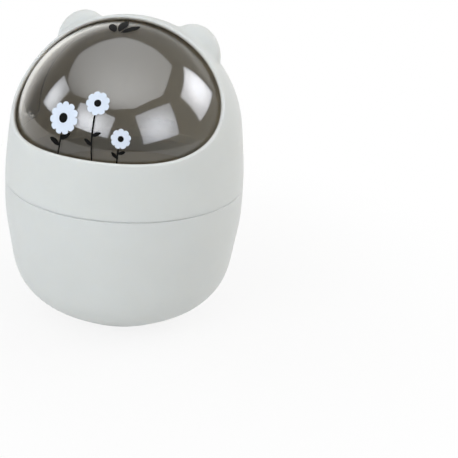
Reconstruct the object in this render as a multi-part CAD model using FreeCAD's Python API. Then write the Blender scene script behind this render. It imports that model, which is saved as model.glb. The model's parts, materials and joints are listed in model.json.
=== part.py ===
# Desktop trash can with a swing lid: a round cup, a domed hood with two ears and a curved mouth,
# a clear lid that turns inside the hood, and the two pins that it turns on.
# Millimetres, +Z up, mouth towards -Y, origin at the centre of the foot on the desk.
import FreeCAD
import Part
import math
import os

# Cup, from the desk to the seam
cup_height = 84.0
seam_radius = 70.0
cup_wall = 2.2
foot_radius = 29.0
foot_ring_width = 4.0
foot_recess_depth = 0.6
foot_rounding = 1.5

# Hood: a round dome about the hinge axis, flaring out to the seam
hinge_rise = 28.6
dome_step = 2.6
hood_wall = 2.6
flare_end_angle = 8.0
spigot_depth = 7.0
spigot_wall = 1.6
spigot_clearance = 0.3
spigot_ramp_start = 3.0
seam_chamfer = 0.5

# Mouth: the hood is cut by a drum, a little larger than the dome, that lies along X above the front
mouth_drum_margin = 0.4
mouth_lip_rise = 4.0
mouth_reach_back = 6.3
lip_flat = 0.2

# Ears: egg shapes behind the mouth, sunk into the dome, spread from the top and leaning out and back
ear_half_width = 17.5
ear_half_depth = 9.0
ear_half_height = 20.0
ear_lean_out = 8.0
ear_lean_back = 15.0
ear_sink = 10.8
ear_set_back = 7.0
ear_spread = 36.0
ear_fillet = 6.0

# Lid: part of a ball shell about the hinge axis, which opens by a quarter turn
lid_gap = 0.7
lid_thickness = 2.0
lid_front_drop = 3.0
lid_back_set = 12.0
lid_corner_radius = 6.0
lid_edge_rounding = 0.5

# Hinge pins, their spacing collars and the bosses that hold them
pin_radius = 1.1
pin_running_clearance = 0.08
pin_head_radius = 2.0
pin_head_set = 1.2
pin_head_clearance = 0.15
pin_skin = 0.8
collar_radius = 2.4
collar_thickness = 0.4
collar_clearance = 0.1
boss_radius = 3.2

# Stop ledges inside the hood: two in front for the shut lid, and one behind, where the back edge
# of the open lid comes to lie level
ledge_thickness = 1.6
ledge_under_lid = 0.6
ledge_contact_gap = 0.1
rear_ledge_width = 15.0
front_ledge_width = 12.0
front_ledge_turn = 30.0

# Every cut runs this far past the face that it opens; points closer than same_place are one place
overrun = 4.0
same_place = 0.01

# Outline points of the cup, as shares of the seam radius and of the cup's height
cup_outline_shares = ((1.0, 1.0), (0.996, 0.778), (0.956, 0.542), (0.9, 0.325), (0.741, 0.151), (0.545, 0.05))
# Slope of the cup's wall where it meets the foot
foot_slope_share = 0.25
# Outline points of the flare: the share left of the step from dome to seam radius, and of the hinge's rise
flare_outline_shares = ((1.0, 0.0), (0.83, 0.41), (0.37, 0.83))
# Steepness of the ramp from the spigot up to the wall: step inward for each step up
spigot_ramp_share = 0.25

# Worked out from the sizes above
foot_recess_radius = foot_radius - foot_ring_width
hinge_height = cup_height + hinge_rise
dome_radius = seam_radius - dome_step
mouth_drum_radius = dome_radius + mouth_drum_margin
lip_rounding = (hood_wall - lip_flat) / 2
lid_outer_radius = dome_radius - hood_wall - lid_gap
lid_inner_radius = lid_outer_radius - lid_thickness
collar_face = lid_outer_radius + collar_clearance
boss_face = collar_face + collar_thickness
pin_end = dome_radius - pin_skin
running_bore = pin_radius + pin_running_clearance
spigot_radius = seam_radius - cup_wall - spigot_clearance
spigot_bore = spigot_radius - spigot_wall
origin = FreeCAD.Vector(0, 0, 0)
hinge_centre = FreeCAD.Vector(0, 0, hinge_height)
axis_x = FreeCAD.Vector(1, 0, 0)
axis_y = FreeCAD.Vector(0, 1, 0)
axis_z = FreeCAD.Vector(0, 0, 1)


def point(radius, height):
    """A point of a turned outline, in the XZ plane."""
    return FreeCAD.Vector(radius, 0, height)


def smooth_edge(points, start, end):
    """One smooth curve through the points, with the directions of its two ends."""
    curve = Part.BSplineCurve()
    curve.interpolate(Points=points, InitialTangent=start, FinalTangent=end)
    return curve.toShape()


def turned(edges):
    """The solid that a closed outline sweeps about the upright axis."""
    return Part.Face(Part.Wire(edges)).revolve(origin, axis_z, 360)


def ring_of(corners):
    """A turned ring with straight sides through the corners."""
    loop = Part.makePolygon(corners + [corners[0]])
    return turned(loop.Edges)


def drum_along_x(radius, half_length, centre):
    """A round bar that lies along X about a centre."""
    start = centre - axis_x * half_length
    return Part.makeCylinder(radius, 2 * half_length, start, axis_x)


def mirrored(shape):
    """The other hand of a shape, across the middle plane."""
    return shape.mirror(origin, axis_x)


def edges_where(shape, test):
    """The edges of a shape that pass a test all along."""
    found = []
    for edge in shape.Edges:
        if edge.Degenerated:
            continue
        places = edge.discretize(Number=5)
        if all(test(place) for place in places):
            found.append(edge)
    return found


def cup_body(inset):
    """The turned body of the cup, smaller all round by the inset and closed to its axis."""
    points = []
    for radius_share, height_share in cup_outline_shares:
        points.append(point(seam_radius * radius_share, cup_height * height_share))
    points.append(point(foot_radius, 0))
    wall = smooth_edge(points, FreeCAD.Vector(0, 0, -1), FreeCAD.Vector(-1, 0, -foot_slope_share))
    curve = wall.Curve
    start = curve.FirstParameter
    span = curve.LastParameter - start
    steps = 2 * len(points)
    shifted = []
    for step in range(steps + 1):
        place = start + span * step / steps
        way = curve.tangent(place)[0]
        inward = FreeCAD.Vector(way.z, 0, -way.x)
        shifted.append(curve.value(place) + inward.normalize() * inset)
    first_way = curve.tangent(start)[0]
    last_way = curve.tangent(start + span)[0]
    side = smooth_edge(shifted, first_way, last_way)
    top = shifted[0]
    foot = shifted[-1]
    top_line = Part.makeLine(point(0, top.z), top)
    foot_line = Part.makeLine(foot, point(0, foot.z))
    axis_line = Part.makeLine(point(0, foot.z), point(0, top.z))
    return turned([top_line, side, foot_line, axis_line])


def make_bin_cup():
    """The round bowl: even wall, plain rim, and a foot with a shallow recess."""
    cup = cup_body(0)
    foot_edge = edges_where(cup, lambda p: abs(p.z) < same_place)
    cup = cup.makeFillet(foot_rounding, foot_edge)
    rim_edge = edges_where(cup, lambda p: abs(p.z - cup_height) < same_place)
    cup = cup.makeChamfer(seam_chamfer, rim_edge)
    recess = Part.makeCylinder(foot_recess_radius, foot_recess_depth + overrun, point(0, -overrun))
    return cup.cut([cup_body(cup_wall), recess])


def hood_body(inset, low):
    """The turned body of the hood without its ears, from a low height to the top of the dome."""
    points = []
    for step_share, rise_share in flare_outline_shares:
        radius = dome_radius + (seam_radius - dome_radius) * step_share
        points.append(point(radius - inset, cup_height + hinge_rise * rise_share))
    ball = dome_radius - inset
    turn = math.radians(flare_end_angle)
    join = point(ball * math.cos(turn), hinge_height + ball * math.sin(turn))
    points.append(join)
    flare = smooth_edge(points, FreeCAD.Vector(0, 0, 1), FreeCAD.Vector(-math.sin(turn), 0, math.cos(turn)))
    middle = math.radians((flare_end_angle + 90) / 2)
    halfway = point(ball * math.cos(middle), hinge_height + ball * math.sin(middle))
    top = point(0, hinge_height + ball)
    dome = Part.Arc(join, halfway, top).toShape()
    seam = points[0]
    edges = [flare, dome, Part.makeLine(top, point(0, low)), Part.makeLine(point(0, low), point(seam.x, low))]
    if low < seam.z:
        edges.append(Part.makeLine(point(seam.x, low), seam))
    return turned(edges)


def ear_middle():
    """The middle of the +X ear: a set distance behind the mouth's top and below the dome's face."""
    back = mouth_reach_back + ear_set_back
    across = math.sqrt((dome_radius - ear_sink) ** 2 - back ** 2)
    turn = math.radians(ear_spread)
    return hinge_centre + FreeCAD.Vector(across * math.sin(turn), back, across * math.cos(turn))


def ear_body(inset):
    """One ear, an egg shape on the dome, smaller all round by the inset."""
    ball = Part.makeSphere(1)
    matrix = FreeCAD.Matrix()
    matrix.scale(ear_half_width - inset, ear_half_depth - inset, ear_half_height - inset)
    egg = ball.transformGeometry(matrix)
    egg.rotate(origin, axis_x, -ear_lean_back)
    egg.rotate(origin, axis_y, ear_lean_out)
    egg.translate(ear_middle())
    return egg


def ear_seams(hood):
    """The edges where the ears meet the dome, all behind the hinge axis."""
    def on_seam(p):
        off_dome = abs((p - hinge_centre).Length - dome_radius)
        return off_dome < same_place and p.y > same_place
    return edges_where(hood, on_seam)


def ledge_bar(turn, top, width):
    """A bar that runs outward from a ledge's nose, turned about Z from straight behind."""
    nose = lid_inner_radius - ledge_under_lid
    corner = FreeCAD.Vector(-width / 2, nose, top - ledge_thickness)
    bar = Part.makeBox(width, dome_radius - nose + overrun, ledge_thickness, corner)
    bar.rotate(origin, axis_z, turn)
    return bar


def ledge_bars():
    """The rear ledge under the open lid and the two front ledges under the shut lid."""
    rear_top = hinge_height - lid_back_set - ledge_contact_gap
    front_top = hinge_height - lid_front_drop - ledge_contact_gap
    return [
        ledge_bar(0, rear_top, rear_ledge_width),
        ledge_bar(180 - front_ledge_turn, front_top, front_ledge_width),
        ledge_bar(180 + front_ledge_turn, front_top, front_ledge_width),
    ]


def boss_bars():
    """The two bosses that the pins are pressed into, run out through the wall."""
    start = hinge_centre + axis_x * boss_face
    boss = Part.makeCylinder(boss_radius, dome_radius - boss_face, start, axis_x)
    return [boss, mirrored(boss)]


def skirt_ring():
    """The ring round the spigot's bore, with a ramp at its top that runs up into the wall."""
    low = cup_height - spigot_depth - 2 * overrun
    reach = seam_radius - spigot_bore + overrun
    ramp_start = cup_height + spigot_ramp_start
    return ring_of([
        point(spigot_bore, low),
        point(spigot_bore + reach, low),
        point(spigot_bore + reach, ramp_start + reach / spigot_ramp_share),
        point(spigot_bore, ramp_start),
    ])


def hood_hollow():
    """The space inside the hood and its ears, notched where ledges, bosses and skirt stand in."""
    hollow = hood_body(hood_wall, cup_height - spigot_depth - overrun)
    core = ear_body(hood_wall)
    hollow = hollow.fuse([core, mirrored(core)])
    return hollow.cut([skirt_ring()] + ledge_bars() + boss_bars())


def mouth_axis():
    """A point on the axis of the drum that cuts the mouth."""
    axis_height = hinge_height + mouth_lip_rise + mouth_drum_radius
    rise = hinge_height + dome_radius - axis_height
    axis_back = mouth_reach_back - math.sqrt(mouth_drum_radius ** 2 - rise ** 2)
    return FreeCAD.Vector(0, axis_back, axis_height)


def mouth_edges(hood):
    """The inner and outer edges of the mouth's lip."""
    centre = mouth_axis()
    def on_drum(p):
        reach = math.hypot(p.y - centre.y, p.z - centre.z)
        return abs(reach - mouth_drum_radius) < same_place
    return edges_where(hood, on_drum)


def make_hood():
    """The domed cover: ears moulded in, curved mouth, inner skirt, pin bosses and stop ledges."""
    hood = hood_body(0, cup_height)
    ear = ear_body(0)
    hood = hood.fuse([ear, mirrored(ear)])
    hood = hood.makeFillet(ear_fillet, ear_seams(hood))
    bottom_edge = edges_where(hood, lambda p: abs(p.z - cup_height) < same_place)
    hood = hood.makeChamfer(seam_chamfer, bottom_edge)
    spigot_foot = point(0, cup_height - spigot_depth)
    spigot = Part.makeCylinder(spigot_radius, spigot_depth + seam_chamfer, spigot_foot)
    hood = hood.fuse(spigot).cut(hood_hollow())
    hood = hood.cut(drum_along_x(mouth_drum_radius, seam_radius + overrun, mouth_axis()))
    hood = hood.makeFillet(lip_rounding, mouth_edges(hood))
    return hood.cut(drum_along_x(pin_radius, pin_end, hinge_centre))


def make_swing_lid():
    """The clear cover: part of a ball shell, with round corners and a hole at each side for a pin."""
    ball = Part.makeSphere(lid_outer_radius, hinge_centre)
    ball = ball.cut(Part.makeSphere(lid_inner_radius, hinge_centre))
    reach = lid_outer_radius + overrun
    corner = hinge_centre + FreeCAD.Vector(-reach, -reach, -lid_front_drop)
    block = Part.makeBox(2 * reach, reach + lid_back_set, reach + lid_front_drop, corner)
    def at_corner(p):
        near_back = abs(p.y - lid_back_set) < same_place
        near_front = abs(p.z - hinge_height + lid_front_drop) < same_place
        return near_back and near_front
    block = block.makeFillet(lid_corner_radius, edges_where(block, at_corner))
    lid = ball.common(block)
    lid = lid.makeFillet(lid_edge_rounding, lid.Edges)
    return lid.cut(drum_along_x(running_bore, reach, hinge_centre))


def make_pivot_pin():
    """The pin on the +X side: a shank that ends in the hood's boss, and a ball head inside the lid."""
    face = hinge_centre + axis_x * (lid_inner_radius - pin_head_clearance)
    middle = face - axis_x * pin_head_set
    head = Part.makeSphere(pin_head_radius, middle)
    beyond_face = Part.makeCylinder(pin_head_radius + overrun, pin_head_radius, face, axis_x)
    shank = Part.makeCylinder(pin_radius, pin_end - middle.x, middle, axis_x)
    return head.cut(beyond_face).fuse(shank).removeSplitter()


def make_pin_collar():
    """The small ring on the +X pin that keeps the lid off the hood's boss."""
    start = hinge_centre + axis_x * collar_face
    collar = Part.makeCylinder(collar_radius, collar_thickness, start, axis_x)
    return collar.cut(drum_along_x(running_bore, dome_radius, hinge_centre))


def make_parts():
    """Every piece of the trash can under its own name."""
    pin = make_pivot_pin()
    collar = make_pin_collar()
    return {
        "bin_cup": make_bin_cup(),
        "hood": make_hood(),
        "swing_lid": make_swing_lid(),
        "pivot_pin_right": pin,
        "pivot_pin_left": mirrored(pin),
        "pin_collar_right": collar,
        "pin_collar_left": mirrored(collar),
    }


def main():
    os.makedirs("parts", exist_ok=True)
    for name, shape in make_parts().items():
        shape.exportStep("parts/" + name + ".step")


if __name__ == "__main__":
    main()
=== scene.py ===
"""Desktop trash can with a swing lid: the finish of every piece, the print on the lid and the stage.

The cup, the hood, the lid, the pins and their collars come from the frame and keep their shapes.
This file gives them their materials, lays the thin ink print on the lid and sets the floor, the lamps
and the camera. Metres, +Z up, mouth towards -Y.
"""

import json
import math
from typing import NamedTuple

import bpy
import numpy as np
from mathutils import Matrix, Vector


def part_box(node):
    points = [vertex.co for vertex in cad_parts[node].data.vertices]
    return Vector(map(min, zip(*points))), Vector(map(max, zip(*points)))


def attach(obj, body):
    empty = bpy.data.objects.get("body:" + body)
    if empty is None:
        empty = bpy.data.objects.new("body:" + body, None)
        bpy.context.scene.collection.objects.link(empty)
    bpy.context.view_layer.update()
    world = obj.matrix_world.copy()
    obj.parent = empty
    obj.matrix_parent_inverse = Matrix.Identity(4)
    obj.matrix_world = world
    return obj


bl_info = {
    "name": "Desktop trash can",
    "version": (1, 0, 0),
    "blender": (4, 5, 0),
    "location": "3D View > Sidebar > Trash can",
    "description": "Finishes a desktop trash can with a swing lid, prints its lid and sets its stage",
    "category": "Object",
}

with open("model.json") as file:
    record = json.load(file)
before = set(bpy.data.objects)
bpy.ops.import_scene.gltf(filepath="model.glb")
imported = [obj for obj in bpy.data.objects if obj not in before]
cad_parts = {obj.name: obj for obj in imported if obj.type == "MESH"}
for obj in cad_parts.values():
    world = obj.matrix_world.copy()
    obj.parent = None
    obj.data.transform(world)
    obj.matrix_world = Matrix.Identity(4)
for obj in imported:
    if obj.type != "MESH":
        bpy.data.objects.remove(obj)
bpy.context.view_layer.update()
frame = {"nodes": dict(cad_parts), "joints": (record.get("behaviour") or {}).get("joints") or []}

MM = 0.001


def hinge_place():
    """Where the lid turns, as the frame's record gives it."""
    for joint in frame["joints"]:
        if joint["name"] == "lid_swing":
            return Vector(joint["pos_m"])
    raise RuntimeError("the frame has no joint named lid_swing")


def seam_place():
    """The middle of the seam between the cup and the hood, at the height of the cup's rim."""
    return Vector((0, 0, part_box("bin_cup")[1].z))


def lid_radius():
    """The outer radius of the lid's ball, which shows in how far the lid reaches up from its hinge."""
    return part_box("swing_lid")[1].z - hinge_place().z


def way_out(turn, rise):
    """The way out from the can at a turn from straight in front, towards +X, and a rise above the level."""
    flat = math.cos(rise)
    return math.sin(turn) * flat, -math.cos(turn) * flat, math.sin(rise)


def linear(hex_colour):
    """An sRGB hex colour as linear red, green and blue, by the sRGB curve."""
    shares = np.array([int(hex_colour[i:i + 2], 16) / 255 for i in (0, 2, 4)])
    steep = ((shares + 0.055) / 1.055) ** 2.4
    return tuple(np.where(shares <= 0.04045, shares / 12.92, steep))


def colour_setting(label, description, hex_colour):
    """A colour that the panel shows, starting from an sRGB hex value."""
    return bpy.props.FloatVectorProperty(
        name=label, description=description, subtype="COLOR", size=3, min=0, max=1,
        default=linear(hex_colour))


def length_setting(label, description, length):
    """A length in metres that the panel shows."""
    return bpy.props.FloatProperty(
        name=label, description=description, unit="LENGTH", precision=5, min=0, default=length)


def angle_setting(label, description, degrees):
    """An angle that the panel shows in degrees."""
    return bpy.props.FloatProperty(
        name=label, description=description, subtype="ANGLE", default=math.radians(degrees))


def number_setting(label, description, number):
    """A plain number that the panel shows, such as a roughness or a strength."""
    return bpy.props.FloatProperty(name=label, description=description, min=0, default=number)


class TrashCanShellSettings(bpy.types.PropertyGroup):
    """What a user would change on the cup and the hood."""

    outside: colour_setting("Outside", "Colour of the matt outside", "DBDEDC")
    # The two inside colours are painted shade: darker and warmer than the outside, as the deep inside gets
    # less light
    hood_inside_painted_shade: colour_setting("Inside of the hood", "Colour of the core side of the hood", "CFCCC6")
    cup_inside_painted_shade: colour_setting("Inside of the cup", "Colour of the core side of the cup", "B6B0A1")
    grain: length_setting("Grain", "Spacing of the mould's grain", 0.9 * MM)
    cloud: length_setting("Cloud", "Size of the faint clouds in the pigment", 14 * MM)
    roughness: number_setting("Roughness", "Roughness of the matt outside", 0.5)


class TrashCanLidSettings(bpy.types.PropertyGroup):
    """What a user would change on the clear lid."""

    smoke: colour_setting("Smoke", "Colour of light that has passed through the lid", "E0DDD4")
    edge: colour_setting("Edge", "Colour of the edge, which light leaves after a long way inside", "17192F")
    wave: length_setting("Wave", "Spacing of the faint waves that the mould leaves in the gloss", 18 * MM)
    roughness: number_setting("Roughness", "Roughness of the gloss", 0.03)


class TrashCanPinSettings(bpy.types.PropertyGroup):
    """What a user would change on the hinge pins and their collars."""

    steel: colour_setting("Steel", "Colour of the pins", "BDBEBF")
    collar: colour_setting("Collar", "Colour of the collars", "E9EAE6")
    turning: length_setting("Turning", "Spacing of the fine turning lines on a pin", 0.25 * MM)


class TrashCanPrintSettings(bpy.types.PropertyGroup):
    """What a user would change in the print on the lid."""

    white: colour_setting("White ink", "Colour of the petals", "DCE6F4")
    black: colour_setting("Black ink", "Colour of the hearts, stems and leaves", "0E0E0D")
    ink: length_setting("Ink", "Thickness of the ink as drawn", 0.05 * MM)
    scale: number_setting("Scale", "Size of every motif, as a share of its drawn size", 1.0)


class TrashCanStageSettings(bpy.types.PropertyGroup):
    """What a user would change on the stage."""

    floor: colour_setting("Floor", "Colour of the paper that the can stands on", "E8E8E7")
    lamps: number_setting("Lamps", "Strength of all the lamps", 1.0)
    gleam: number_setting("Gleam", "Strength of the softboxes as the gloss mirrors them", 1.0)
    ambient: number_setting("Ambient", "Light from the white room all round", 0.16)
    azimuth: angle_setting("Azimuth", "Turn of the camera round the can, from straight in front", 19.84)
    elevation: angle_setting("Elevation", "Height of the camera above the horizon, from the seam", 21.04)
    distance: length_setting("Distance", "Distance from the camera to the middle of the seam", 0.743)
    pan: angle_setting("Pan", "Turn of the camera to the right of the can", 4.83)
    tilt: angle_setting("Tilt", "Turn of the camera below the can", 2.22)
    roll: angle_setting("Roll", "Roll of the camera", 2.09)
    lens: bpy.props.FloatProperty(
        name="Lens", description="Focal length of the camera, in millimetres", subtype="DISTANCE_CAMERA",
        default=98.13)


SETTINGS = {
    "trash_can_shell": TrashCanShellSettings,
    "trash_can_lid": TrashCanLidSettings,
    "trash_can_pins": TrashCanPinSettings,
    "trash_can_print": TrashCanPrintSettings,
    "trash_can_stage": TrashCanStageSettings,
}


def add_node(tree, kind, values=None, links=None, **settings):
    """Adds a node of a kind. Settings are its properties, values its inputs and links its inputs' sources.

    An input goes by its name, or by its number on a node that has several of one name. On a Mix node,
    inputs 2 and 3 are the numbers that output 0 mixes, and inputs 6 and 7 the colours that output 2 mixes.
    """
    made = tree.nodes.new(kind)
    for name, setting in settings.items():
        setattr(made, name, setting)
    for socket, value in (values or {}).items():
        made.inputs[socket].default_value = value
    for socket, source in (links or {}).items():
        tree.links.new(source, made.inputs[socket])
    return made


def new_material(name):
    """An empty node material and its tree."""
    material = bpy.data.materials.new(name)
    material.use_nodes = True
    material.node_tree.nodes.clear()
    return material, material.node_tree


def cover_with(material, *names):
    """Puts a material on every slot of these nodes of the frame."""
    for name in names:
        for slot in frame["nodes"][name].material_slots:
            slot.material = material


def opaque(colour):
    """A colour setting as the four values that a colour input takes."""
    return (*colour, 1)


# The range that most of a noise texture's values lie in
NOISE_LOW = 0.3
NOISE_HIGH = 0.7
# How far the roughness of the shell's outside strays either way, and how much smoother its inside is
MATT_SPREAD = 0.05
CORE_SMOOTHER = 0.12
# How far red, green and blue light goes inside the shell's plastic, in millimetres
SCATTER_RADIUS = (4.2, 4.0, 3.7)


def moulded_polypropylene(name, centre, inside, settings):
    """Polypropylene, injection-moulded: the mould's eroded face gives an even matt grain outside.

    The polished core gives the inside a smoother face. The inside's colour is darker and warmer
    than the outside: painted shade of the deep inside, where less light reaches. Inside and outside are
    told apart by which way the surface faces from the centre of the shell.
    """
    material, tree = new_material(name)
    place = add_node(tree, "ShaderNodeTexCoord")
    from_centre = add_node(
        tree, "ShaderNodeMapping", values={"Location": -centre}, links={"Vector": place.outputs["Object"]})
    outward = add_node(
        tree, "ShaderNodeVectorMath", links={0: from_centre.outputs["Vector"]}, operation="NORMALIZE")
    facing = add_node(
        tree, "ShaderNodeVectorMath", links={0: outward.outputs["Vector"], 1: place.outputs["Normal"]},
        operation="DOT_PRODUCT")
    core_side = add_node(
        tree, "ShaderNodeMapRange", values={"From Min": 0.1, "From Max": -0.25},
        links={"Value": facing.outputs["Value"]}, interpolation_type="SMOOTHSTEP")
    cloud = add_node(
        tree, "ShaderNodeTexNoise", values={"Scale": 1 / settings.cloud, "Detail": 2.0},
        links={"Vector": place.outputs["Object"]})
    # The eroded grain is about 0.2 mm and is drawn at 0.9 mm, which is as fine as shows
    grain = add_node(
        tree, "ShaderNodeTexNoise", values={"Scale": 1 / settings.grain, "Detail": 3.0, "Roughness": 0.6},
        links={"Vector": place.outputs["Object"]})
    # On the core side the inside colour is mixed in, which is painted shade: darker and warmer than the
    # outside
    colour_with_inside_shade = add_node(
        tree, "ShaderNodeMix", values={6: opaque(settings.outside), 7: opaque(inside)},
        links={0: core_side.outputs["Result"]}, data_type="RGBA")
    shade = add_node(
        tree, "ShaderNodeMapRange",
        values={"From Min": NOISE_LOW, "From Max": NOISE_HIGH, "To Min": 0.99, "To Max": 1.005},
        links={"Value": cloud.outputs["Fac"]})
    colour = add_node(
        tree, "ShaderNodeVectorMath", links={0: colour_with_inside_shade.outputs[2], "Scale": shade.outputs["Result"]},
        operation="SCALE")
    matt = add_node(
        tree, "ShaderNodeMapRange",
        values={"From Min": NOISE_LOW, "From Max": NOISE_HIGH,
                "To Min": settings.roughness - MATT_SPREAD, "To Max": settings.roughness + MATT_SPREAD},
        links={"Value": grain.outputs["Fac"]})
    roughness = add_node(
        tree, "ShaderNodeMix", values={3: settings.roughness - CORE_SMOOTHER},
        links={0: core_side.outputs["Result"], 2: matt.outputs["Result"]}, data_type="FLOAT")
    relief = add_node(
        tree, "ShaderNodeBump", values={"Strength": 0.35, "Distance": 0.02 * MM},
        links={"Height": grain.outputs["Fac"]})
    shader = add_node(
        tree, "ShaderNodeBsdfPrincipled",
        values={"IOR": 1.49, "Subsurface Weight": 0.8, "Subsurface Radius": SCATTER_RADIUS,
                "Subsurface Scale": MM},
        links={"Base Color": colour.outputs["Vector"], "Roughness": roughness.outputs[0],
               "Normal": relief.outputs["Normal"]})
    add_node(tree, "ShaderNodeOutputMaterial", links={"Surface": shader.outputs["BSDF"]})
    return material


# The marks of wiping on the lid: their width as a share of the mould's waves, and how much they dull it
WIPE_SHARE = 0.6
WIPE_DULLNESS = 0.01


def smoked_polystyrene(settings):
    """Clear polystyrene tinted smoky brown, injection-moulded in a polished mould.

    The faces are glossy and let light through once tinted; light that runs along the sheet leaves at
    the edge, which looks nearly black and blue. An edge is where the surface doesn't face along the
    radius of the ball. The lamps shine straight through, tinted once by each face, so that the lid
    throws a light brown shadow.
    """
    material, tree = new_material("smoked_polystyrene")
    place = add_node(tree, "ShaderNodeTexCoord")
    from_hinge = add_node(
        tree, "ShaderNodeMapping", values={"Location": -hinge_place()},
        links={"Vector": place.outputs["Object"]})
    along_radius = add_node(
        tree, "ShaderNodeVectorMath", links={0: from_hinge.outputs["Vector"]}, operation="NORMALIZE")
    facing = add_node(
        tree, "ShaderNodeVectorMath", links={0: along_radius.outputs["Vector"], 1: place.outputs["Normal"]},
        operation="DOT_PRODUCT")
    squareness = add_node(
        tree, "ShaderNodeMath", links={0: facing.outputs["Value"]}, operation="ABSOLUTE")
    at_edge = add_node(
        tree, "ShaderNodeMapRange", values={"From Min": 0.97, "From Max": 0.7},
        links={"Value": squareness.outputs["Value"]}, interpolation_type="SMOOTHSTEP")
    colour = add_node(
        tree, "ShaderNodeMix", values={6: opaque(settings.smoke), 7: opaque(settings.edge)},
        links={0: at_edge.outputs["Result"]}, data_type="RGBA")
    wave = add_node(
        tree, "ShaderNodeTexNoise", values={"Scale": 1 / settings.wave, "Detail": 1.0},
        links={"Vector": place.outputs["Object"]})
    wiped = add_node(
        tree, "ShaderNodeTexNoise",
        values={"Scale": 1 / (WIPE_SHARE * settings.wave), "Detail": 4.0, "Distortion": 0.6},
        links={"Vector": from_hinge.outputs["Vector"]})
    roughness = add_node(
        tree, "ShaderNodeMapRange",
        values={"From Min": 0.35, "From Max": 0.75,
                "To Min": settings.roughness, "To Max": settings.roughness + WIPE_DULLNESS},
        links={"Value": wiped.outputs["Fac"]})
    relief = add_node(
        tree, "ShaderNodeBump", values={"Strength": 0.1, "Distance": 0.1 * MM},
        links={"Height": wave.outputs["Fac"]})
    shader = add_node(
        tree, "ShaderNodeBsdfPrincipled", values={"IOR": 1.59, "Transmission Weight": 1.0},
        links={"Base Color": colour.outputs[2], "Roughness": roughness.outputs["Result"],
               "Normal": relief.outputs["Normal"]})
    one_face = [share ** 0.5 for share in settings.smoke]
    shadow = add_node(tree, "ShaderNodeBsdfTransparent", values={"Color": opaque(one_face)})
    path = add_node(tree, "ShaderNodeLightPath")
    both = add_node(
        tree, "ShaderNodeMixShader",
        links={0: path.outputs["Is Shadow Ray"], 1: shader.outputs["BSDF"], 2: shadow.outputs["BSDF"]})
    add_node(tree, "ShaderNodeOutputMaterial", links={"Surface": both.outputs["Shader"]})
    return material


def turned_steel(settings):
    """Stainless steel, turned and polished: bright, with fine rings round the pin's axis, along X."""
    material, tree = new_material("turned_stainless_steel")
    place = add_node(tree, "ShaderNodeTexCoord")
    # Turning leaves rings about 0.05 mm apart, drawn at 0.25 mm, which is as fine as shows
    rings = add_node(
        tree, "ShaderNodeTexWave",
        values={"Scale": 1 / (2 * math.pi * settings.turning), "Distortion": 0.4, "Detail": 2.0},
        links={"Vector": place.outputs["Object"]}, wave_type="BANDS", bands_direction="X")
    roughness = add_node(
        tree, "ShaderNodeMapRange", values={"To Min": 0.2, "To Max": 0.36},
        links={"Value": rings.outputs["Fac"]})
    relief = add_node(
        tree, "ShaderNodeBump", values={"Strength": 0.3, "Distance": 0.005 * MM},
        links={"Height": rings.outputs["Fac"]})
    shader = add_node(
        tree, "ShaderNodeBsdfPrincipled", values={"Base Color": opaque(settings.steel), "Metallic": 1.0},
        links={"Roughness": roughness.outputs["Result"], "Normal": relief.outputs["Normal"]})
    add_node(tree, "ShaderNodeOutputMaterial", links={"Surface": shader.outputs["BSDF"]})
    return material


def natural_nylon(settings):
    """Nylon without pigment, moulded: milky and half clear, with a soft gloss."""
    material, tree = new_material("natural_nylon")
    place = add_node(tree, "ShaderNodeTexCoord")
    # The milky clouds are about 1.5 mm across
    milk = add_node(
        tree, "ShaderNodeTexNoise", values={"Scale": 1 / (1.5 * MM), "Detail": 2.0},
        links={"Vector": place.outputs["Object"]})
    roughness = add_node(
        tree, "ShaderNodeMapRange", values={"To Min": 0.22, "To Max": 0.4},
        links={"Value": milk.outputs["Fac"]})
    shader = add_node(
        tree, "ShaderNodeBsdfPrincipled",
        values={"Base Color": opaque(settings.collar), "IOR": 1.53, "Transmission Weight": 0.5},
        links={"Roughness": roughness.outputs["Result"]})
    add_node(tree, "ShaderNodeOutputMaterial", links={"Surface": shader.outputs["BSDF"]})
    return material


def pad_printed_ink(name, colour):
    """Two-part ink, pad-printed and air-dried: an even glossy film with the faint stipple of the pad."""
    material, tree = new_material(name)
    place = add_node(tree, "ShaderNodeTexCoord")
    # The pad's stipple is about 0.1 mm and is drawn at 0.7 mm, which is as fine as shows
    stipple = add_node(
        tree, "ShaderNodeTexNoise", values={"Scale": 1 / (0.7 * MM), "Detail": 2.0},
        links={"Vector": place.outputs["Object"]})
    shade = add_node(
        tree, "ShaderNodeMapRange",
        values={"From Min": NOISE_LOW, "From Max": NOISE_HIGH, "To Min": 0.97, "To Max": 1.0},
        links={"Value": stipple.outputs["Fac"]})
    tint = add_node(
        tree, "ShaderNodeVectorMath", values={0: colour}, links={"Scale": shade.outputs["Result"]},
        operation="SCALE")
    roughness = add_node(
        tree, "ShaderNodeMapRange", values={"To Min": 0.4, "To Max": 0.55},
        links={"Value": stipple.outputs["Fac"]})
    shader = add_node(
        tree, "ShaderNodeBsdfPrincipled", values={"IOR": 1.48, "Specular IOR Level": 0.05},
        links={"Base Color": tint.outputs["Vector"], "Roughness": roughness.outputs["Result"]})
    add_node(tree, "ShaderNodeOutputMaterial", links={"Surface": shader.outputs["BSDF"]})
    return material


# How white the paper looks by the can, and the distances in metres where it starts to whiten and is all white
PAPER_WHITENESS = 0.86
PAPER_WHITER_FROM = 0.09
PAPER_WHITE_FROM = 0.3


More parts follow.
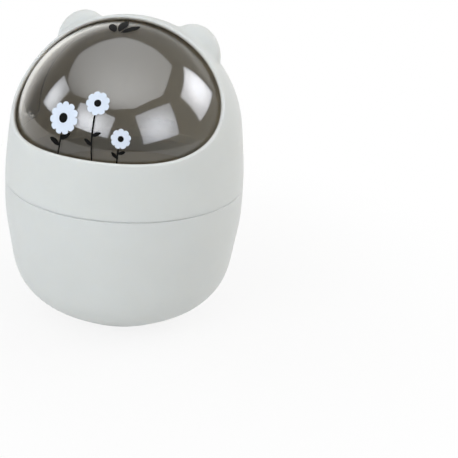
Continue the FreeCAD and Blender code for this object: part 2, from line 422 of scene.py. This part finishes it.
def seamless_paper(settings):
    """White seamless paper, which keeps the can's shadow and fades into the white room further out.

    Seen by the camera, in gloss or through the clear lid, it becomes plain white away from the can.
    Its back doesn't show, so that the can is seen from below too.
    """
    material, tree = new_material("seamless_paper")
    place = add_node(tree, "ShaderNodeTexCoord")
    away = add_node(
        tree, "ShaderNodeVectorMath", links={0: place.outputs["Object"]}, operation="LENGTH")
    fade = add_node(
        tree, "ShaderNodeMapRange",
        values={"From Min": PAPER_WHITER_FROM, "From Max": PAPER_WHITE_FROM, "To Min": PAPER_WHITENESS},
        links={"Value": away.outputs["Value"]}, interpolation_type="SMOOTHSTEP")
    # The fibres lie in clumps about 2 mm across
    fibre = add_node(
        tree, "ShaderNodeTexNoise", values={"Scale": 1 / (2 * MM), "Detail": 3.0},
        links={"Vector": place.outputs["Object"]})
    roughness = add_node(
        tree, "ShaderNodeMapRange", values={"To Min": 0.75, "To Max": 0.9},
        links={"Value": fibre.outputs["Fac"]})
    paper = add_node(
        tree, "ShaderNodeBsdfPrincipled",
        values={"Base Color": opaque(settings.floor), "Specular IOR Level": 0.2},
        links={"Roughness": roughness.outputs["Result"]})
    white = add_node(tree, "ShaderNodeEmission", values={"Strength": 1.0})
    seen = add_node(
        tree, "ShaderNodeMath", links={0: seen_directly(tree), 1: fade.outputs["Result"]},
        operation="MULTIPLY")
    front = add_node(
        tree, "ShaderNodeMixShader",
        links={0: seen.outputs["Value"], 1: paper.outputs["BSDF"], 2: white.outputs["Emission"]})
    clear = add_node(tree, "ShaderNodeBsdfTransparent")
    side = add_node(tree, "ShaderNodeNewGeometry")
    both = add_node(
        tree, "ShaderNodeMixShader",
        links={0: side.outputs["Backfacing"], 1: front.outputs["Shader"], 2: clear.outputs["BSDF"]})
    add_node(tree, "ShaderNodeOutputMaterial", links={"Surface": both.outputs["Shader"]})
    return material


def seen_directly(tree):
    """The output that is 1 for what the camera sees, also in gloss and through clear pieces.

    It is 0 for light that a matt surface has scattered, so that nothing shown this way lights the can.
    """
    path = add_node(tree, "ShaderNodeLightPath")
    unscattered = add_node(
        tree, "ShaderNodeMath", values={1: 0.5}, links={0: path.outputs["Diffuse Depth"]},
        operation="LESS_THAN")
    in_gloss = add_node(
        tree, "ShaderNodeMath",
        links={0: path.outputs["Is Camera Ray"], 1: path.outputs["Is Glossy Ray"]}, operation="MAXIMUM")
    through = add_node(
        tree, "ShaderNodeMath",
        links={0: in_gloss.outputs["Value"], 1: path.outputs["Is Transmission Ray"]}, operation="MAXIMUM")
    seen = add_node(
        tree, "ShaderNodeMath", links={0: through.outputs["Value"], 1: unscattered.outputs["Value"]},
        operation="MULTIPLY")
    return seen.outputs["Value"]


# The angle by which a blade's ends stop short of its root and its tip, so that they don't shrink to a point
BLADE_END = 0.01
# The least distance from a motif's middle, which keeps its middle place from a division by zero
TINY = 1e-9


def middle_line(shares, length, bend):
    """Places on a middle line along +Y, which at a share s of its length lies bend * s * s of it aside."""
    return np.stack([bend * length * shares ** 2, length * shares], -1)


def blade(length, width, fullness, lean=0.0, bend=0.0, along=22, across=5):
    """A grid of flat places over a petal, a leaf, a stem or a round spot that grows along +Y from the origin.

    With an angle a from 0 at the root to pi at the tip, the middle line is at the share (1 - cos a) / 2
    of the length, and half the width there is width / 2 * sin(a) ** fullness * (1 - lean * cos a). A
    fullness of 1 gives an oval, more a pointed leaf and less a stem; a lean moves the widest place out.
    The grid has its places along the blade and across it.
    """
    angle = np.linspace(BLADE_END, math.pi - BLADE_END, along)
    middle = middle_line((1 - np.cos(angle)) / 2, length, bend)
    half = width / 2 * np.sin(angle) ** fullness * (1 - lean * np.cos(angle))
    way = np.gradient(middle, axis=0)
    way /= np.hypot(way[:, :1], way[:, 1:])
    sideways = np.stack([way[:, 1], -way[:, 0]], 1)
    shares = np.linspace(-1, 1, across)
    return middle[:, None] + sideways[:, None] * (half[:, None] * shares)[..., None]


def turned_by(places, angle):
    """Flat places turned about the origin, anticlockwise."""
    turn = np.array([[math.cos(angle), math.sin(angle)], [-math.sin(angle), math.cos(angle)]])
    return places @ turn


def on_lid(places, levels, turn, rise):
    """Lays flat places on the lid's ball, about a point that is turned from the front and raised.

    A place at a distance d from the middle lies at the angle d over the ball's radius from it, in
    the same direction, and a level is the height above the ball.
    """
    radius = lid_radius()
    middle = np.array(way_out(turn, rise))
    east = np.array([math.cos(turn), math.sin(turn), 0])
    north = np.cross(middle, east)
    distance = np.hypot(places[:, 0], places[:, 1])
    angle = distance / radius
    share = np.sin(angle) / np.maximum(distance, TINY)
    sideways = places[:, :1] * share[:, None] * east + places[:, 1:] * share[:, None] * north
    way = np.cos(angle)[:, None] * middle + sideways
    return np.array(hinge_place()) + way * (radius + levels)[:, None]


def sheet_faces(rows, columns):
    """The faces of a closed sheet: its face, its back and the wall round its edge.

    The points of the face come first, row after row, and then the same points of the back.
    """
    index = np.arange(rows * columns).reshape(rows, columns)
    face = np.stack([index[:-1, :-1], index[:-1, 1:], index[1:, 1:], index[1:, :-1]], -1).reshape(-1, 4)
    edge = np.concatenate([index[0, :-1], index[:-1, -1], index[-1, :0:-1], index[:0:-1, 0]])
    after = np.roll(edge, -1)
    back = face[:, ::-1] + rows * columns
    wall = np.stack([edge + rows * columns, after + rows * columns, after, edge], -1)
    return np.concatenate([face, back, wall])


# How far the first layer of ink lies off the lid, and each further one off that, as shares of its thickness
FILM_LIFT = 0.2
FILM_STEP = 1.2


def film_on_lid(name, blades, turn, rise, layer, settings, material):
    """One printed film of several blades about a point of the lid, in a layer of ink above the ball."""
    low = settings.ink * (FILM_LIFT + FILM_STEP * layer)
    points = []
    faces = []
    start = 0
    for grid in blades:
        rows, columns = grid.shape[:2]
        places = grid.reshape(-1, 2) * settings.scale
        levels = np.repeat([low + settings.ink, low], len(places))
        points.append(on_lid(np.concatenate([places, places]), levels, turn, rise))
        faces.append(sheet_faces(rows, columns) + start)
        start += len(levels)
    mesh = bpy.data.meshes.new(name)
    mesh.from_pydata(np.concatenate(points).tolist(), [], np.concatenate(faces).tolist())
    mesh.materials.append(material)
    mesh.update()
    made = bpy.data.objects.new(name, mesh)
    bpy.context.scene.collection.objects.link(made)
    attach(made, "lid")


class Daisy(NamedTuple):
    """A printed daisy, in degrees and millimetres.

    Its middle has a turn from the front and a rise above the hinge, and its ring of petals a spin. Its
    stem has a length, a lean from straight down and a bend as a share of its length.
    """

    name: str
    turn: float
    rise: float
    radius: float
    petals: int
    spin: float
    stem: float
    lean: float
    bend: float


DAISIES = (
    Daisy("daisy_left", -15.0, 21.0, 9.0, 11, 6.0, 21.0, 8.0, 0.16),
    Daisy("daisy_middle", 3.0, 31.0, 6.6, 9, 14.0, 32.0, -5.0, -0.1),
    Daisy("daisy_right", 17.0, 15.0, 5.4, 9, 0.0, 15.0, -14.0, -0.14),
)
# The layers of ink, from the lid outwards
LEAF_LAYER, PETAL_LAYER, HEART_LAYER = range(3)
# The heart's radius as a share of the daisy's, and where a petal's root lies as a share of the heart's radius
HEART_SHARE = 0.3
HEART_FULLNESS = 1.0
ROOT_SHARE = 0.6
# A petal's width as a share of the arc that it has at the daisy's rim
PETAL_SHARE = 0.75
PETAL_FULLNESS = 0.8
PETAL_LEAN = 0.4
LEAF_FULLNESS = 1.5
# The stem's width in millimetres
STEM_WIDTH = 0.9
STEM_FULLNESS = 0.2
# How a leaf stands on a stem, times its side: its turn in degrees and its bend as a share of its length
STEM_LEAF_TURN = -130
STEM_LEAF_BEND = -0.15
# The leaves along a stem: share of its length, side, and length and width as shares of the daisy's radius
STEM_LEAVES = ((0.56, -1, 0.8, 0.34), (0.72, 1, 0.85, 0.34))

# The loose leaves at the top of the lid: name, turn and rise in degrees, length and width in millimetres,
# heading anticlockwise from backwards in degrees, bend as a share of the length
LOOSE_LEAVES = (
    ("leaf_back_left", -12.0, 76.0, 13.0, 4.6, 48.0, 0.12),
    ("leaf_back_middle", -5.0, 77.0, 18.0, 5.0, 8.0, -0.06),
    ("leaf_back_right", 2.0, 76.0, 14.0, 4.6, -36.0, -0.12),
)


class TRASHCAN_OT_finish_cup(bpy.types.Operator):
    """Give the cup its moulded finish"""

    bl_idname = "trash_can.finish_cup"
    bl_label = "Finish the cup"

    def execute(self, context):
        settings = context.scene.trash_can_shell
        # The cup's inside colour is painted shade of its deep inside
        plastic = moulded_polypropylene(
            "moulded_polypropylene_cup", seam_place(), settings.cup_inside_painted_shade, settings)
        cover_with(plastic, "bin_cup")
        return {"FINISHED"}


class TRASHCAN_OT_finish_hood(bpy.types.Operator):
    """Give the hood its moulded finish"""

    bl_idname = "trash_can.finish_hood"
    bl_label = "Finish the hood"

    def execute(self, context):
        settings = context.scene.trash_can_shell
        # The hood's inside colour is painted shade of its deep inside
        plastic = moulded_polypropylene(
            "moulded_polypropylene_hood", hinge_place(), settings.hood_inside_painted_shade, settings)
        cover_with(plastic, "hood")
        return {"FINISHED"}


class TRASHCAN_OT_finish_lid(bpy.types.Operator):
    """Make the lid clear and smoky"""

    bl_idname = "trash_can.finish_lid"
    bl_label = "Finish the lid"

    def execute(self, context):
        cover_with(smoked_polystyrene(context.scene.trash_can_lid), "swing_lid")
        return {"FINISHED"}


class TRASHCAN_OT_finish_pins(bpy.types.Operator):
    """Make the hinge pins steel and their collars nylon"""

    bl_idname = "trash_can.finish_pins"
    bl_label = "Finish the pins"

    def execute(self, context):
        settings = context.scene.trash_can_pins
        cover_with(turned_steel(settings), "pivot_pin_left", "pivot_pin_right")
        cover_with(natural_nylon(settings), "pin_collar_left", "pin_collar_right")
        return {"FINISHED"}


class TRASHCAN_OT_print_daisies(bpy.types.Operator):
    """Print the white daisies with black hearts on the lid"""

    bl_idname = "trash_can.print_daisies"
    bl_label = "Print the daisies"

    def execute(self, context):
        settings = context.scene.trash_can_print
        white = pad_printed_ink("pad_printed_white_ink", settings.white)
        black = pad_printed_ink("pad_printed_heart_ink", settings.black)
        for daisy in DAISIES:
            reach = daisy.radius * MM
            heart = HEART_SHARE * reach
            root = ROOT_SHARE * heart
            width = PETAL_SHARE * 2 * math.pi * reach / daisy.petals
            petal = blade(reach - root, width, PETAL_FULLNESS, lean=PETAL_LEAN) + [0, root]
            ring = [
                turned_by(petal, math.radians(daisy.spin) + 2 * math.pi * number / daisy.petals)
                for number in range(daisy.petals)]
            spot = blade(2 * heart, 2 * heart, HEART_FULLNESS) - [0, heart]
            place = (math.radians(daisy.turn), math.radians(daisy.rise))
            film_on_lid(daisy.name + "_petals", ring, *place, PETAL_LAYER, settings, white)
            film_on_lid(daisy.name + "_heart", [spot], *place, HEART_LAYER, settings, black)
        return {"FINISHED"}


class TRASHCAN_OT_print_leaves(bpy.types.Operator):
    """Print the black stems and leaves on the lid"""

    bl_idname = "trash_can.print_leaves"
    bl_label = "Print the leaves"

    def execute(self, context):
        settings = context.scene.trash_can_print
        black = pad_printed_ink("pad_printed_leaf_ink", settings.black)
        for daisy in DAISIES:
            reach = daisy.stem * MM
            strips = [blade(reach, STEM_WIDTH * MM, STEM_FULLNESS, bend=daisy.bend)]
            for share, side, long_share, wide_share in STEM_LEAVES:
                leaf = blade(
                    long_share * daisy.radius * MM, wide_share * daisy.radius * MM, LEAF_FULLNESS,
                    bend=STEM_LEAF_BEND * side)
                leaf = turned_by(leaf, math.radians(STEM_LEAF_TURN * side))
                strips.append(leaf + middle_line(np.array(share), reach, daisy.bend))
            strips = [turned_by(strip, math.radians(180 + daisy.lean)) for strip in strips]
            place = (math.radians(daisy.turn), math.radians(daisy.rise))
            film_on_lid(daisy.name + "_stem", strips, *place, LEAF_LAYER, settings, black)
        for name, turn, rise, length, width, heading, bend in LOOSE_LEAVES:
            leaf = blade(length * MM, width * MM, LEAF_FULLNESS, bend=bend)
            leaf = turned_by(leaf, math.radians(heading))
            film_on_lid(
                name, [leaf], math.radians(turn), math.radians(rise), LEAF_LAYER, settings, black)
        return {"FINISHED"}


class Softbox(NamedTuple):
    """A softbox as seen from the can: its middle, size and roll in degrees, its lamp and its glowing face.

    The lamp's power is in watts. The face has a brightness, a hot place as shares of its half width and
    half height, and the share of these over which its hem fades.
    """

    name: str
    azimuth: float
    elevation: float
    width: float
    height: float
    brightness: float
    power: float
    roll: float = 0.0
    hot_place: tuple = (0.0, 0.0)
    hem: float = 0.1
    lamp_colour: str = "FFFFFF"
    face_colour: str = "FFFFFF"


SOFTBOXES = (
    Softbox(
        "left", -74.7, 25.0, 20.7, 25.3, 6.6, power=0.9, hot_place=(-0.1, -0.2),
        lamp_colour="F7FBFF", face_colour="F0F5FF"),
    Softbox(
        "front_left", -17.7, 23.8, 41.5, 23.9, 8.8, roll=-5.9, power=6.5, hot_place=(-0.15, -0.2),
        lamp_colour="F7FBFF", face_colour="EFF4FF"),
    Softbox(
        "front_right", 53.8, 23.6, 40.7, 32.0, 7.0, roll=7.6, power=1.8, hot_place=(-0.05, -0.15),
        lamp_colour="FFFDFA", face_colour="EEF3FF"),
    Softbox(
        "right", 119.0, 29.2, 36.9, 29.6, 9.4, roll=7.2, power=4.4, hot_place=(0.15, 0.1),
        lamp_colour="FFFDFA", face_colour="F2F5FF"),
    Softbox("back_left", -138.0, 6.0, 72.0, 60.0, 1.15, power=3.2, hem=0.55),
    Softbox("back_right", 165.0, 9.0, 50.0, 54.0, 1.15, power=3.6, hem=0.5),
)
# The softboxes' distance from the hinge in metres, and how bright their faces still are where the glow ends
SOFTBOX_DISTANCE = 1.2
SOFTBOX_FADE_SHARE = 0.45
# Where the glow of a face ends, as a share of its reach
GLOW_END = 1.3
# The overhead sheet: its middle from the hinge in metres, and the tilt of its face about X in degrees
OVERHEAD_PLACE = (-0.15, -0.7, 1.3)
OVERHEAD_TILT = 20.0
# The corners of its face in metres, to the right and towards the back of its middle
OVERHEAD_CORNERS = (
    (0.62, 1.2), (1.16, 0.4), (1.06, -1.0), (0.1, -2.0),
    (-1.5, -0.4), (-1.28, 0.43), (-0.74, 1.1), (-0.14, 1.36))
# Its lamp: the radius in metres, the power in watts and the colour
OVERHEAD_RADIUS = 1.4
OVERHEAD_POWER = 15.2
OVERHEAD_LAMP_COLOUR = "FFFFFF"
# Its face in gloss: the brightness, the colour, and the hot place and the reach of its glow in metres
OVERHEAD_BRIGHTNESS = 3.6
OVERHEAD_FACE_COLOUR = "F6F9FF"
OVERHEAD_HOT_PLACE = (0.28, -0.15)
OVERHEAD_GLOW = (1.8, 1.9)
# How bright the face still is where its glow ends, and how wide its hem is as a share of the glow's reach
OVERHEAD_FADE_SHARE = 0.2
OVERHEAD_HEM_SHARE = 0.1
# The paper's radius in metres and how many sides its rim has
FLOOR_RADIUS = 4.0
FLOOR_SIDES = 96
# How white the room's walls look in gloss
ROOM_LEFT_GLEAM = 0.3
ROOM_RIGHT_GLEAM = 0.5
# The camera: the width of its sensor in millimetres, and the nearest and farthest that it sees in metres
SENSOR_WIDTH = 36.0
CLIP_START = 0.05
CLIP_END = 50.0


def softbox_fabric(name, reach, brightness, hot_place, fade_share, hem, hem_gleam, colour):
    """White diffuser fabric, sewn and lit from behind: brightest at its hot place and dimmer all round.

    Its brightness falls smoothly to the fade share where its glow ends. Along its hem, which is a
    share of its reach wide, it meets the white of the room.
    """
    material, tree = new_material(name)
    place = add_node(tree, "ShaderNodeTexCoord")
    shares = add_node(
        tree, "ShaderNodeMapping", values={"Scale": (1 / reach[0], 1 / reach[1], 1)},
        links={"Vector": place.outputs["Object"]})
    away = add_node(
        tree, "ShaderNodeVectorMath", values={1: (*hot_place, 0)}, links={0: shares.outputs["Vector"]},
        operation="DISTANCE")
    hot = add_node(
        tree, "ShaderNodeMapRange",
        values={"From Max": GLOW_END, "To Min": brightness, "To Max": brightness * fade_share},
        links={"Value": away.outputs["Value"]}, interpolation_type="SMOOTHSTEP")
    sizes = add_node(tree, "ShaderNodeVectorMath", links={0: shares.outputs["Vector"]}, operation="ABSOLUTE")
    parts = add_node(tree, "ShaderNodeSeparateXYZ", links={"Vector": sizes.outputs["Vector"]})
    farthest = add_node(
        tree, "ShaderNodeMath", links={0: parts.outputs["X"], 1: parts.outputs["Y"]}, operation="MAXIMUM")
    at_hem = add_node(
        tree, "ShaderNodeMapRange", values={"From Min": 1.0, "From Max": 1.0 - hem},
        links={"Value": farthest.outputs["Value"]}, interpolation_type="SMOOTHSTEP")
    lit = add_node(
        tree, "ShaderNodeMix", values={2: hem_gleam},
        links={0: at_hem.outputs["Result"], 3: hot.outputs["Result"]}, data_type="FLOAT")
    strength = add_node(
        tree, "ShaderNodeMath", links={0: lit.outputs[0], 1: seen_directly(tree)}, operation="MULTIPLY")
    glow = add_node(
        tree, "ShaderNodeEmission", values={"Color": opaque(colour)},
        links={"Strength": strength.outputs["Value"]})
    add_node(tree, "ShaderNodeOutputMaterial", links={"Surface": glow.outputs["Emission"]})
    return material


def add_lamp(name, place, turn, size, power, colour, shape="RECTANGLE"):
    """An area lamp with its sizes, that shines along its own -Z and only lights matt surfaces."""
    data = bpy.data.lights.new(name, "AREA")
    data.shape = shape
    data.size, data.size_y = size
    data.energy = power
    data.color = colour
    lamp = bpy.data.objects.new(name, data)
    lamp.matrix_world = Matrix.Translation(place) @ turn.to_4x4()
    lamp.visible_camera = False
    lamp.visible_glossy = False
    lamp.visible_transmission = False
    bpy.context.scene.collection.objects.link(lamp)


def add_card(name, place, turn, corners, material):
    """A glowing face that only gloss and clear pieces see, as the front of a softbox shows in them."""
    mesh = bpy.data.meshes.new(name)
    mesh.from_pydata([(across, up, 0) for across, up in corners], [], [tuple(range(len(corners)))])
    mesh.materials.append(material)
    card = bpy.data.objects.new(name, mesh)
    card.matrix_world = Matrix.Translation(place) @ turn.to_4x4()
    card.visible_camera = False
    card.visible_diffuse = False
    card.visible_shadow = False
    bpy.context.scene.collection.objects.link(card)


def room_gleam(way):
    """How white the room looks in gloss along a way: lighter from its left wall to its right one."""
    return ROOM_LEFT_GLEAM + (ROOM_RIGHT_GLEAM - ROOM_LEFT_GLEAM) * (way.x + 1) / 2


def add_softbox(softbox, settings):
    """A lamp and the face that gloss mirrors, both seen from the can under the same angles."""
    way = Vector(way_out(math.radians(softbox.azimuth), math.radians(softbox.elevation)))
    place = hinge_place() + way * SOFTBOX_DISTANCE
    roll = Matrix.Rotation(math.radians(softbox.roll), 3, "Z")
    turn = way.to_track_quat("Z", "Y").to_matrix() @ roll
    across = SOFTBOX_DISTANCE * math.tan(math.radians(softbox.width) / 2)
    up = SOFTBOX_DISTANCE * math.tan(math.radians(softbox.height) / 2)
    add_lamp(
        "softbox_" + softbox.name, place, turn, (2 * across, 2 * up), softbox.power * settings.lamps,
        linear(softbox.lamp_colour))
    corners = [(-across, -up), (across, -up), (across, up), (-across, up)]
    fabric = softbox_fabric(
        "softbox_fabric_" + softbox.name, (across, up), softbox.brightness * settings.gleam,
        softbox.hot_place, SOFTBOX_FADE_SHARE, softbox.hem, room_gleam(way),
        linear(softbox.face_colour))
    add_card("card_" + softbox.name, place, turn, corners, fabric)


def add_overhead_sheet(settings):
    """The sheet overhead, tilted towards the back: a round lamp and the face that gloss mirrors."""
    place = hinge_place() + Vector(OVERHEAD_PLACE)
    turn = Matrix.Rotation(-math.radians(OVERHEAD_TILT), 3, "X")
    wide = 2 * OVERHEAD_RADIUS
    add_lamp(
        "softbox_top", place, turn, (wide, wide), OVERHEAD_POWER * settings.lamps,
        linear(OVERHEAD_LAMP_COLOUR), "DISK")
    hot_place = [hot / reach for hot, reach in zip(OVERHEAD_HOT_PLACE, OVERHEAD_GLOW)]
    fabric = softbox_fabric(
        "softbox_fabric_top", OVERHEAD_GLOW, OVERHEAD_BRIGHTNESS * settings.gleam, hot_place,
        OVERHEAD_FADE_SHARE, OVERHEAD_HEM_SHARE, room_gleam(Vector((0, 0, 1))), linear(OVERHEAD_FACE_COLOUR))
    add_card("card_top", place, turn, OVERHEAD_CORNERS, fabric)


def light_room(settings):
    """A white room: plain white where the camera or clear pieces see it, and a soft even light.

    Gloss mirrors a room that grows lighter from its left wall to its right one, where the lamps are near.
    """
    world = bpy.data.worlds.new("white_room")
    bpy.context.scene.world = world
    world.use_nodes = True
    tree = world.node_tree
    tree.nodes.clear()
    place = add_node(tree, "ShaderNodeTexCoord")
    way = add_node(tree, "ShaderNodeSeparateXYZ", links={"Vector": place.outputs["Generated"]})
    mirrored = add_node(
        tree, "ShaderNodeMapRange",
        values={"From Min": -1.0, "To Min": ROOM_LEFT_GLEAM, "To Max": ROOM_RIGHT_GLEAM},
        links={"Value": way.outputs["X"]})
    path = add_node(tree, "ShaderNodeLightPath")
    seen = add_node(
        tree, "ShaderNodeMix", values={2: 1.0},
        links={0: path.outputs["Is Glossy Ray"], 3: mirrored.outputs["Result"]}, data_type="FLOAT")
    strength = add_node(
        tree, "ShaderNodeMix", values={2: settings.ambient},
        links={0: seen_directly(tree), 3: seen.outputs[0]}, data_type="FLOAT")
    room = add_node(
        tree, "ShaderNodeBackground", values={"Color": (1, 1, 1, 1)}, links={"Strength": strength.outputs[0]})
    add_node(tree, "ShaderNodeOutputWorld", links={"Surface": room.outputs["Background"]})


def lay_floor(settings):
    """A round sheet of paper under the can: its rim's places are at even turns round a circle."""
    turn = np.linspace(0, 2 * math.pi, FLOOR_SIDES, endpoint=False)
    points = np.stack([np.cos(turn), np.sin(turn), np.zeros(FLOOR_SIDES)], 1) * FLOOR_RADIUS
    mesh = bpy.data.meshes.new("paper")
    mesh.from_pydata(points.tolist(), [], [tuple(range(FLOOR_SIDES))])
    mesh.materials.append(seamless_paper(settings))
    floor = bpy.data.objects.new("paper", mesh)
    bpy.context.scene.collection.objects.link(floor)


def place_camera(settings):
    """The camera: at its azimuth, elevation and distance from the seam, turned off the can, then rolled."""
    data = bpy.data.cameras.new("camera")
    data.sensor_width = SENSOR_WIDTH
    data.lens = settings.lens
    data.clip_start = CLIP_START
    data.clip_end = CLIP_END
    way = Vector(way_out(settings.azimuth, settings.elevation))
    look = way.to_track_quat("Z", "Y").to_matrix()
    turn = Matrix.Rotation(-settings.pan, 3, "Y") @ Matrix.Rotation(-settings.tilt, 3, "X")
    turn = look @ turn @ Matrix.Rotation(settings.roll, 3, "Z")
    camera = bpy.data.objects.new("camera", data)
    camera.matrix_world = Matrix.Translation(seam_place() + way * settings.distance) @ turn.to_4x4()
    bpy.context.scene.collection.objects.link(camera)
    bpy.context.scene.camera = camera


class TRASHCAN_OT_set_stage(bpy.types.Operator):
    """Set the paper, the lamps, the room and the camera"""

    bl_idname = "trash_can.set_stage"
    bl_label = "Set the stage"

    def execute(self, context):
        settings = context.scene.trash_can_stage
        lay_floor(settings)
        for softbox in SOFTBOXES:
            add_softbox(softbox, settings)
        add_overhead_sheet(settings)
        light_room(settings)
        place_camera(settings)
        context.scene.view_settings.view_transform = "Standard"
        return {"FINISHED"}


OPERATORS = (
    TRASHCAN_OT_finish_cup,
    TRASHCAN_OT_finish_hood,
    TRASHCAN_OT_finish_lid,
    TRASHCAN_OT_finish_pins,
    TRASHCAN_OT_print_daisies,
    TRASHCAN_OT_print_leaves,
    TRASHCAN_OT_set_stage,
)


class TRASHCAN_PT_steps(bpy.types.Panel):
    """The steps that finish the trash can"""

    bl_idname = "TRASHCAN_PT_steps"
    bl_label = "Trash can"
    bl_space_type = "VIEW_3D"
    bl_region_type = "UI"
    bl_category = "Trash can"

    def draw(self, context):
        for name, group in SETTINGS.items():
            box = self.layout.box()
            for setting in group.__annotations__:
                box.prop(getattr(context.scene, name), setting)
        for operator in OPERATORS:
            self.layout.operator(operator.bl_idname)


def register():
    """Registers the settings, the operators and the panel."""
    for name, group in SETTINGS.items():
        bpy.utils.register_class(group)
        setattr(bpy.types.Scene, name, bpy.props.PointerProperty(type=group))
    for operator in OPERATORS:
        bpy.utils.register_class(operator)
    bpy.utils.register_class(TRASHCAN_PT_steps)


def unregister():
    """Takes the panel, the operators and the settings out again."""
    bpy.utils.unregister_class(TRASHCAN_PT_steps)
    for operator in reversed(OPERATORS):
        bpy.utils.unregister_class(operator)
    for name, group in SETTINGS.items():
        delattr(bpy.types.Scene, name)
        bpy.utils.unregister_class(group)


def main():
    """Runs every step in order."""
    register()
    bpy.ops.trash_can.finish_cup()
    bpy.ops.trash_can.finish_hood()
    bpy.ops.trash_can.finish_lid()
    bpy.ops.trash_can.finish_pins()
    bpy.ops.trash_can.print_daisies()
    bpy.ops.trash_can.print_leaves()
    bpy.ops.trash_can.set_stage()


if __name__ == "__main__":
    main()
